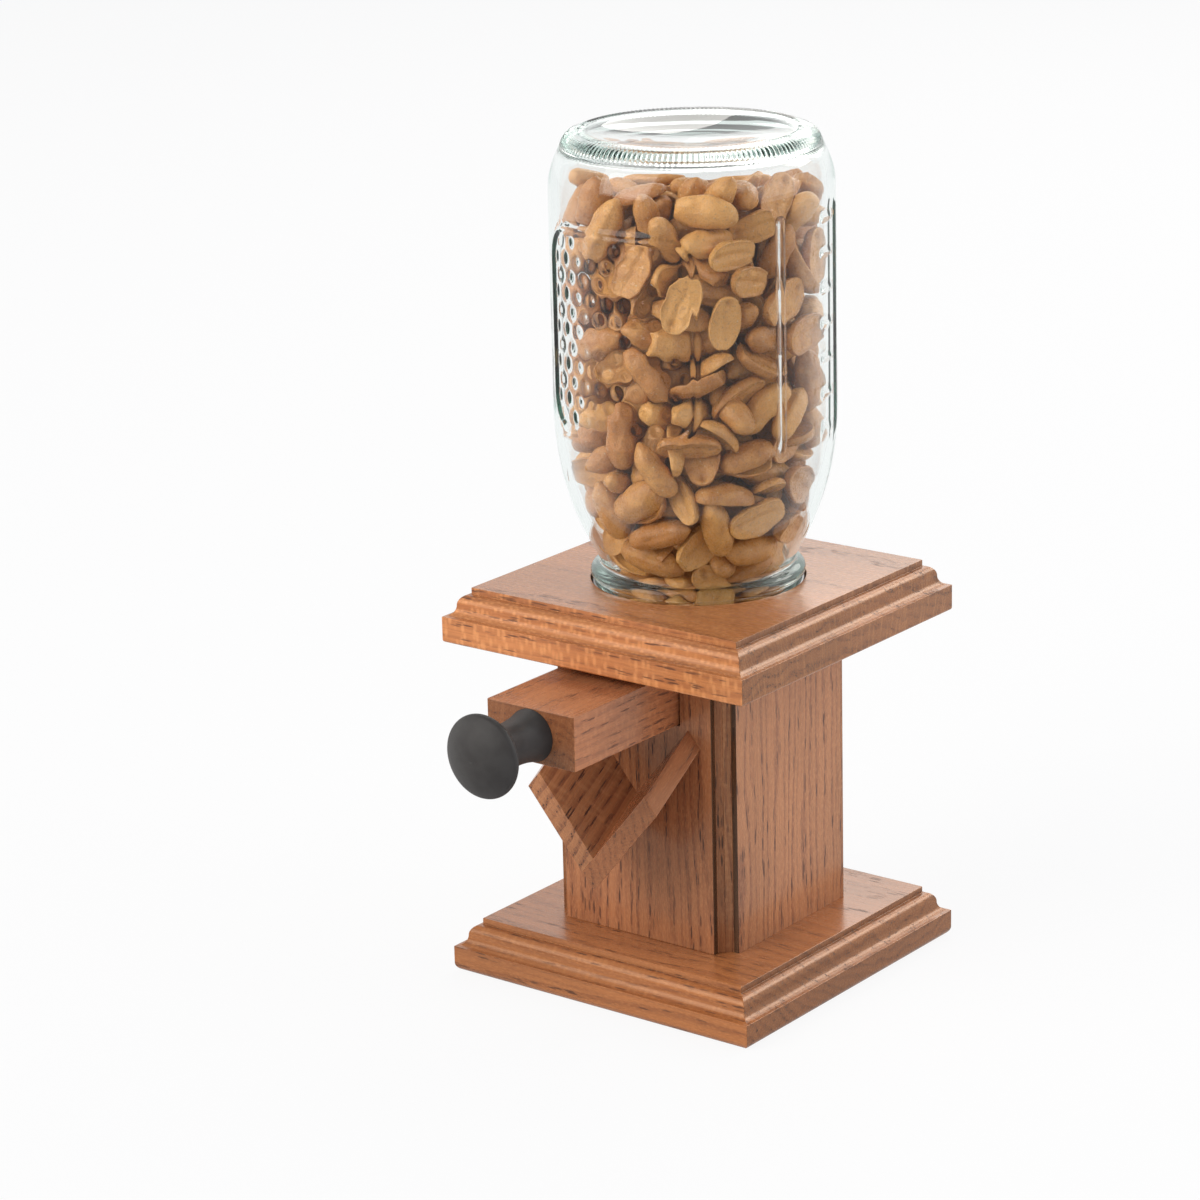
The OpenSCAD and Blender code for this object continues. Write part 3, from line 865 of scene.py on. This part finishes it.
def push_apart(balls, radii, one, other):
    """Moves balls that overlap away from each other."""
    apart = balls[other] - balls[one]
    length = np.sqrt(np.einsum("ij,ij->i", apart, apart)) + 1e-6
    overlap = radii[one] + radii[other] - length
    hit = overlap > 0
    push = apart[hit] * (PUSH_SHARE * overlap[hit] / length[hit])[:, None]
    for axis in range(3):
        balls[:, axis] += np.bincount(other[hit], push[:, axis], len(balls))
        balls[:, axis] -= np.bincount(one[hit], push[:, axis], len(balls))


def past_wall(balls, radii):
    """How far each ball reaches past the inside of the jar."""
    return np.hypot(balls[:, 0], balls[:, 1]) + NUT_BULGE * radii + WALL_GAP - wall_radius(balls[:, 2])


def keep_inside(points, excess):
    """Moves points towards the jar's axis by their excess."""
    away = np.maximum(np.hypot(points[:, 0], points[:, 1]), 1e-6)
    points[:, :2] *= (1 - np.clip(excess, 0, away) / away)[:, None]


def free_fall(balls, radii, other_balls, other_radii):
    """How far a group of balls can fall before it lands on other balls."""
    apart = balls[:, None] - other_balls[None]
    touch = (radii[:, None] + other_radii[None]) ** 2
    beside = apart[:, :, 0] ** 2 + apart[:, :, 1] ** 2
    below = (beside < touch) & (apart[:, :, 2] > 0)
    fall = apart[:, :, 2] - np.sqrt(np.clip(touch - beside, 0, None))
    return np.clip(fall[below].min(initial=DEEPEST_FALL), 0, DEEPEST_FALL)


def settle_nuts():
    """Fills the jar with nuts, each a rigid group of balls.

    Gives each nut's centre, rotation and size, and whether it is a split half.
    """
    random = np.random.default_rng(SEED)
    is_half = random.random(NUT_COUNT) < HALF_SHARE
    size = random.uniform(*NUT_SIZES, NUT_COUNT)
    size[random.random(NUT_COUNT) < SMALL_SHARE] *= SMALL_SIZE
    groups = [np.array(HALF_BALLS if half else WHOLE_BALLS) * scale for half, scale in zip(is_half, size)]
    owner = np.repeat(np.arange(NUT_COUNT), [len(group) for group in groups])
    balls = np.concatenate(groups).astype(np.float32)
    local = balls[:, :3]
    radii = balls[:, 3]
    number = np.bincount(owner)[:, None]

    levels = np.linspace(NUT_FLOOR + 4, FILL_HEIGHT, 200)
    share = np.cumsum(wall_radius(levels) ** 2)
    height = np.interp(random.random(NUT_COUNT), share / share[-1], levels)
    reach = (wall_radius(height) - FIRST_GAP) * np.sqrt(random.random(NUT_COUNT))
    turn = random.uniform(0, 2 * math.pi, NUT_COUNT)
    centre = np.stack((reach * np.cos(turn), reach * np.sin(turn), height), 1)
    outward = np.stack((np.cos(turn), np.sin(turn), np.zeros(NUT_COUNT)), 1)
    turned = random.random(NUT_COUNT) < FACE_OUT_SHARE
    at_wall = is_half & turned & (reach > wall_radius(height) - FACE_OUT_DEPTH)
    rotation = first_turns(random, outward * at_wall[:, None])

    def place_balls():
        return (centre[owner] + np.einsum("ijk,ik->ij", rotation[owner], local)).astype(np.float32)

    for step in range(SETTLING_STEPS):
        balls = place_balls()
        if step % PAIR_STEPS == 0:
            one, other = close_pairs(balls, radii, owner, PAIR_MARGIN)
        if step < SINKING_SHARE * SETTLING_STEPS:
            balls[:, 2] -= SINKING
        for _ in range(PUSHES):
            push_apart(balls, radii, one, other)
            balls[:, 2] = np.clip(balls[:, 2], NUT_FLOOR + radii, NUT_CEILING - radii)
            keep_inside(balls, past_wall(balls, radii))
        centre = per_nut(owner, balls) / number
        products = np.einsum("ij,ik->ijk", balls - centre[owner], local).reshape(-1, 9)
        fit = per_nut(owner, products).reshape(-1, 3, 3) + TURN_INERTIA * rotation
        left, _, right = np.linalg.svd(fit)
        left[:, :, 2] *= np.linalg.det(left @ right)[:, None]
        rotation = left @ right
    for nut in np.argsort(centre[:, 2]):
        if centre[nut, 2] > SHOULDER_END + DEEPEST_FALL:
            balls = place_balls()
            own = owner == nut
            centre[nut, 2] -= free_fall(balls[own], radii[own], balls[~own], radii[~own])
    for _ in range(PUSHES):
        excess = np.zeros(NUT_COUNT)
        balls = place_balls()
        np.maximum.at(excess, owner, past_wall(balls, radii))
        keep_inside(centre, excess)
    return centre, rotation, size, is_half


def nut_grid(along, around):
    """Directions on a sphere, as rows from one tip to the other, and the faces between them."""
    polar = np.linspace(0, math.pi, along + 1)
    turn = np.arange(around) * 2 * math.pi / around
    rows = [(math.cos(p), math.sin(p) * np.cos(turn), math.sin(p) * np.sin(turn)) for p in polar[1:-1]]
    points = [np.stack((np.full(around, x), y, z), 1) for x, y, z in rows]
    points = np.concatenate([[(1, 0, 0)], *points, [(-1, 0, 0)]])
    faces = []
    last = len(points) - 1
    for column in range(around):
        following = (column + 1) % around
        faces.append((0, 1 + column, 1 + following))
        for row in range(along - 2):
            low = 1 + row * around
            high = low + around
            faces.append((low + column, high + column, high + following, low + following))
        low = 1 + (along - 2) * around
        faces.append((low + column, last, low + following))
    return points, faces


def wrinkle(points, scale, shift):
    """Smooth noise at points, about zero."""
    return np.array([noise.noise(Vector(p) * scale + shift) for p in points])


def whole_nut(points, shift):
    """Whole kernel about 22 mm long, with its seam, its blunt end and its pointed tip."""
    x, y, z = points.T
    width = np.sqrt(np.clip(y**2 + z**2, 0, 1))
    fuller = np.power(np.maximum(width, 1e-6), -0.14 - 0.08 * (x < 0))
    waist = 1 - 0.09 * np.exp(-((x - 0.1) / 0.30) ** 2)
    shape = np.stack((x * 10.9, y * fuller * waist * 5.2, z * fuller * waist * 4.9), 1)
    shape[:, 0] += 1.1 * np.exp(-(width / 0.25) ** 2) * (x > 0)
    shape[:, 1] += 1.2 * (x**2 - 0.4) * shift.x
    seam = np.exp(-((z / np.maximum(width, 1e-3)) / 0.20) ** 2)
    shape[:, 1:] *= (1 + (skin(shape, shift) - 0.45 * seam * width) / 5.0)[:, None]
    return shape, np.zeros(len(x))


def half_nut(points, shift):
    """Split half about 21 mm long, with a domed back, a dished face with a groove, and a pit at its tip."""
    x, y, z = points.T
    width = np.sqrt(np.clip(y**2 + z**2, 0, 1))
    fuller = np.power(np.maximum(width, 1e-6), -0.20)
    shape = np.stack((x * 10.3, y * fuller * 5.8, z * fuller * 4.7), 1)
    inner = np.clip((-z / np.maximum(width, 1e-3) - 0.30) / 0.35, 0, 1)
    face = inner**2 * (3 - 2 * inner)
    groove = np.exp(-(shape[:, 1] / 1.0) ** 2) * np.clip(1.2 - (shape[:, 0] / 7.5) ** 2, 0, 1)
    pit = np.exp(-((shape[:, 0] - 7.6) / 1.1) ** 2 - (shape[:, 1] / 1.1) ** 2)
    dished = -0.7 + face * (0.75 * np.clip(1 - x**2, 0, 1) + 0.9 * groove + 2.0 * pit)
    shape[:, 2] = np.where(z > 0, shape[:, 2], np.maximum(shape[:, 2] * 0.6, dished))
    shape[:, 2] += 0.16 * shift.y * (shape[:, 0] / 4) ** 2
    broken = 10.0 * (1.02 + 0.35 * shift.x) + 0.8 * wrinkle(shape * (0, 1, 1), 0.45, shift)
    shape[:, 0] = np.maximum(shape[:, 0], -broken)
    shape[:, 1:] *= (1 + skin(shape, shift) / 5.0)[:, None]
    shape[:, 2] -= 1.7
    return shape, face


def skin(shape, shift):
    """Lumps, lengthwise creases and small blisters of a kernel's surface."""
    creased = shape * (0.35, 1.0, 1.0)
    lumps = 0.50 * wrinkle(shape, 0.20, shift) + 0.42 * wrinkle(creased, 0.50, shift)
    return lumps + 0.16 * wrinkle(shape, 1.1, shift)


def nut_shapes(maker, count, along, around):
    """Several different kernels of one kind, each with its points and where its face is."""
    points, faces = nut_grid(along, around)
    random = np.random.default_rng(SEED + 1)
    shifts = [Vector(random.uniform(-1, 1, 3)) for _ in range(count)]
    return [maker(points, Vector((s.x, s.y, s.z * 40))) for s in shifts], faces


def make_nuts():
    """The peanuts in the jar: whole kernels and split halves, each in a lower and an upper piece."""
    centre, rotation, size, is_half = settle_nuts()
    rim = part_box("jar")[0].z / MM
    outside = wall_radius(centre[:, 2]) - np.hypot(centre[:, 0], centre[:, 1]) < NEAR_WALL
    seen = outside | (centre[:, 2] > np.percentile(centre[:, 2], TOP_LAYER))
    upper = centre[:, 2] > np.median(centre[:, 2])
    material = roasted_nuts()
    random = np.random.default_rng(SEED + 2)
    roast = random.random(NUT_COUNT)
    for name, maker, kind in (("whole", whole_nut, ~is_half), ("split", half_nut, is_half)):
        fine, fine_faces = nut_shapes(maker, NUT_KINDS, *FINE_GRID)
        rough, rough_faces = nut_shapes(maker, NUT_KINDS, *ROUGH_GRID)
        for level, chosen in (("low", kind & ~upper), ("high", kind & upper)):
            points, faces, tints = [], [], []
            total = 0
            for nut in np.nonzero(chosen)[0]:
                shapes, shape_faces = (fine, fine_faces) if seen[nut] else (rough, rough_faces)
                shape, face = shapes[nut % len(shapes)]
                points.append(shape * size[nut] @ rotation[nut].T + centre[nut] + (0, 0, rim))
                faces += [tuple(corner + total for corner in corners) for corners in shape_faces]
                tints.append(roast[nut] - FACE_PALER * face)
                total += len(shape)
            points = np.concatenate(points)
            piece = add_piece(f"peanuts_{name}_{level}", points, faces, material, "jar")
            layer = piece.data.attributes.new("roast", "FLOAT", "POINT")
            layer.data.foreach_set("value", np.concatenate(tints).astype(np.float32))


# Stage

FLOOR_SIZE = 8.0
FLOOR_DROP = 0.1
FLOOR_GLOW = 0.90
GLASS_BOUNCES = 64
AMBIENT = 0.26
AMBIENT_COLOUR = (0.94, 0.99, 1.18, 1)
ROOM_GLOSS = 0.15
FLOOR_GLOSS = 0.30
CEILING = 0.35


def floor_material():
    """Pale floor that reads as white and keeps a soft shadow."""
    make = Shader("floor")
    make.set(Base_Color=(0.88, 0.88, 0.88, 1), Roughness=0.8, Specular_IOR_Level=0.1)
    glow = make.add("Emission")
    rays = make.add("LightPath").outputs
    ahead = make.add("VectorMath", operation="DOT_PRODUCT")
    make.feed(ahead.inputs[0], make.coordinates())
    ahead.inputs[1].default_value = direction(CAMERA_AZIMUTH, 0)
    dimmer = make.smooth(ahead.outputs["Value"], -0.3, 0.3, 0.0, 1.0 - FLOOR_GLOSS)
    dimmer = make.math("MULTIPLY", dimmer, make.math("MINIMUM", rays["Glossy Depth"], 1.0))
    make.feed(glow.inputs["Strength"], make.math("SUBTRACT", 1.0, dimmer))
    seen = make.math("MAXIMUM", rays["Is Camera Ray"], rays["Is Glossy Ray"])
    seen = make.math("MAXIMUM", seen, rays["Is Transmission Ray"])
    either = make.add("MixShader")
    make.feed(either.inputs[0], make.math("MULTIPLY", seen, FLOOR_GLOW))
    make.feed(either.inputs[1], make.surface.outputs["BSDF"])
    make.feed(either.inputs[2], glow.outputs["Emission"])
    make.feed(make.output.inputs["Surface"], either.outputs["Shader"])
    return make.material


def make_floor():
    half = FLOOR_SIZE / 2
    corners = [(-half, -half), (half, -half), (half, half), (-half, half)]
    mesh = bpy.data.meshes.new("floor")
    mesh.from_pydata([(x, y, -FLOOR_DROP * MM) for x, y in corners], [], [(0, 1, 2, 3)])
    mesh.materials.append(floor_material())
    floor = bpy.data.objects.new("floor", mesh)
    bpy.context.scene.collection.objects.link(floor)


def make_world():
    """White surroundings to look at, a lower even light, and a dim ceiling and room in front to reflect."""
    world = bpy.data.worlds.new("studio")
    bpy.context.scene.world = world
    world.use_nodes = True
    tree = world.node_tree
    background = tree.nodes["Background"]
    rays = tree.nodes.new("ShaderNodeLightPath").outputs

    def node(kind, sockets, **settings):
        made = tree.nodes.new("ShaderNode" + kind)
        for key, value in settings.items():
            setattr(made, key, value)
        for name, value in sockets.items():
            if isinstance(value, bpy.types.NodeSocket):
                tree.links.new(value, made.inputs[name])
            else:
                made.inputs[name].default_value = value
        return made.outputs

    def step(value, low, high, end):
        """Smooth step of a value from 1 down to the end level."""
        sockets = {"Value": value, "From Min": low, "From Max": high, "To Min": 1.0, "To Max": end}
        return node("MapRange", sockets, interpolation_type="SMOOTHSTEP")["Result"]

    towards = tree.nodes.new("ShaderNodeTexCoord").outputs["Generated"]
    front = direction(CAMERA_AZIMUTH, 0)
    ahead = node("VectorMath", {0: towards, 1: front}, operation="DOT_PRODUCT")["Value"]
    room = step(ahead, -0.4, 0.4, ROOM_GLOSS)
    reflected = node("Math", {0: rays["Glossy Depth"], 1: 1.0}, operation="MINIMUM")[0]
    shown = node("MapRange", {"Value": reflected, "To Min": 1.0, "To Max": room})["Result"]
    seen = node("Math", {0: rays["Is Camera Ray"], 1: rays["Is Transmission Ray"]}, operation="MAXIMUM")[0]
    seen = node("Math", {0: seen, 1: rays["Is Glossy Ray"]}, operation="MAXIMUM")[0]
    shown = node("Math", {0: seen, 1: shown}, operation="MULTIPLY")[0]
    height = node("SeparateXYZ", {"Vector": towards})["Z"]
    ceiling = step(height, 0.45, 0.85, CEILING)
    ceiling = node("Math", {0: ceiling, 1: rays["Is Camera Ray"]}, operation="MAXIMUM")[0]
    shown = node("Math", {0: shown, 1: ceiling}, operation="MULTIPLY")[0]
    level = node("Math", {0: shown, 1: AMBIENT}, operation="MAXIMUM")[0]
    tree.links.new(level, background.inputs["Strength"])
    white = (1, 1, 1, 1)
    colour = node("Mix", {0: seen, 6: AMBIENT_COLOUR, 7: white}, data_type="RGBA")[2]
    tree.links.new(colour, background.inputs["Color"])


WARM_LIGHT = (1.0, 0.97, 0.92)
COOL_LIGHT = (0.97, 0.98, 1.0)
LAMP_DISTANCE = 2.2
LAMP_AIM = (0, 0, 0.13)
# Azimuth, elevation, size, level and colour of each lamp, and whether it shows in reflections
LAMPS = {
    "key": (-22, 31, 1.7, 0.45, WARM_LIGHT, True),
    "key_fill": (-22, 31, 1.7, 0.44, WARM_LIGHT, False),
    "key_glint": (-22, 31, 0.30, 0.08, WARM_LIGHT, True),
    "side": (110, 24, 1.8, 0.25, COOL_LIGHT, True),
    "side_fill": (110, 24, 1.8, 0.30, COOL_LIGHT, False),
    "side_glint": (110, 24, 0.30, 0.05, COOL_LIGHT, True),
    "back": (198, 36, 1.4, 0.26, WARM_LIGHT, True),
    "rim": (158, 34, 0.8, 0.20, WARM_LIGHT, True),
}


def add_lamp(name, azimuth, elevation, size, level, colour, mirrored):
    """Square lamp aimed at the object. Its level is the brightness of a white face square to it."""
    data = bpy.data.lights.new(name, "AREA")
    data.shape = "SQUARE"
    data.size = size
    data.energy = level * math.pi**2 * LAMP_DISTANCE**2
    data.color = colour
    lamp = bpy.data.objects.new(name, data)
    back = direction(azimuth, elevation)
    lamp.location = Vector(LAMP_AIM) + back * LAMP_DISTANCE
    lamp.rotation_mode = "QUATERNION"
    lamp.rotation_quaternion = (-back).to_track_quat("-Z", "Y")
    lamp.visible_glossy = mirrored
    bpy.context.scene.collection.objects.link(lamp)


def make_lamps():
    for name, lamp in LAMPS.items():
        add_lamp(name, *lamp)


def make_camera():
    data = bpy.data.cameras.new("camera")
    data.lens = CAMERA_LENS
    data.sensor_width = SENSOR_WIDTH
    camera = bpy.data.objects.new("camera", data)
    back = direction(CAMERA_AZIMUTH, CAMERA_ELEVATION)
    level_right = (-back).cross(Vector((0, 0, 1))).normalized()
    level_up = level_right.cross(-back)
    roll = math.radians(CAMERA_ROLL)
    right = math.cos(roll) * level_right + math.sin(roll) * level_up
    up = -math.sin(roll) * level_right + math.cos(roll) * level_up
    place = (Vector(CAMERA_TARGET) + back * CAMERA_DISTANCE) * MM
    camera.matrix_world = Matrix.Translation(place) @ Matrix((right, up, back)).transposed().to_4x4()
    bpy.context.scene.collection.objects.link(camera)
    bpy.context.scene.camera = camera


bpy.context.scene.view_settings.view_transform = "Standard"
# Light passes both walls of the jar, and is reflected inside its thick parts, many times
bpy.context.scene.cycles.max_bounces = GLASS_BOUNCES
bpy.context.scene.cycles.glossy_bounces = GLASS_BOUNCES
bpy.context.scene.cycles.transmission_bounces = GLASS_BOUNCES
make_camera()
make_world()
make_lamps()
make_floor()
finish_wood()
finish_fittings()
make_jar()
make_nuts()
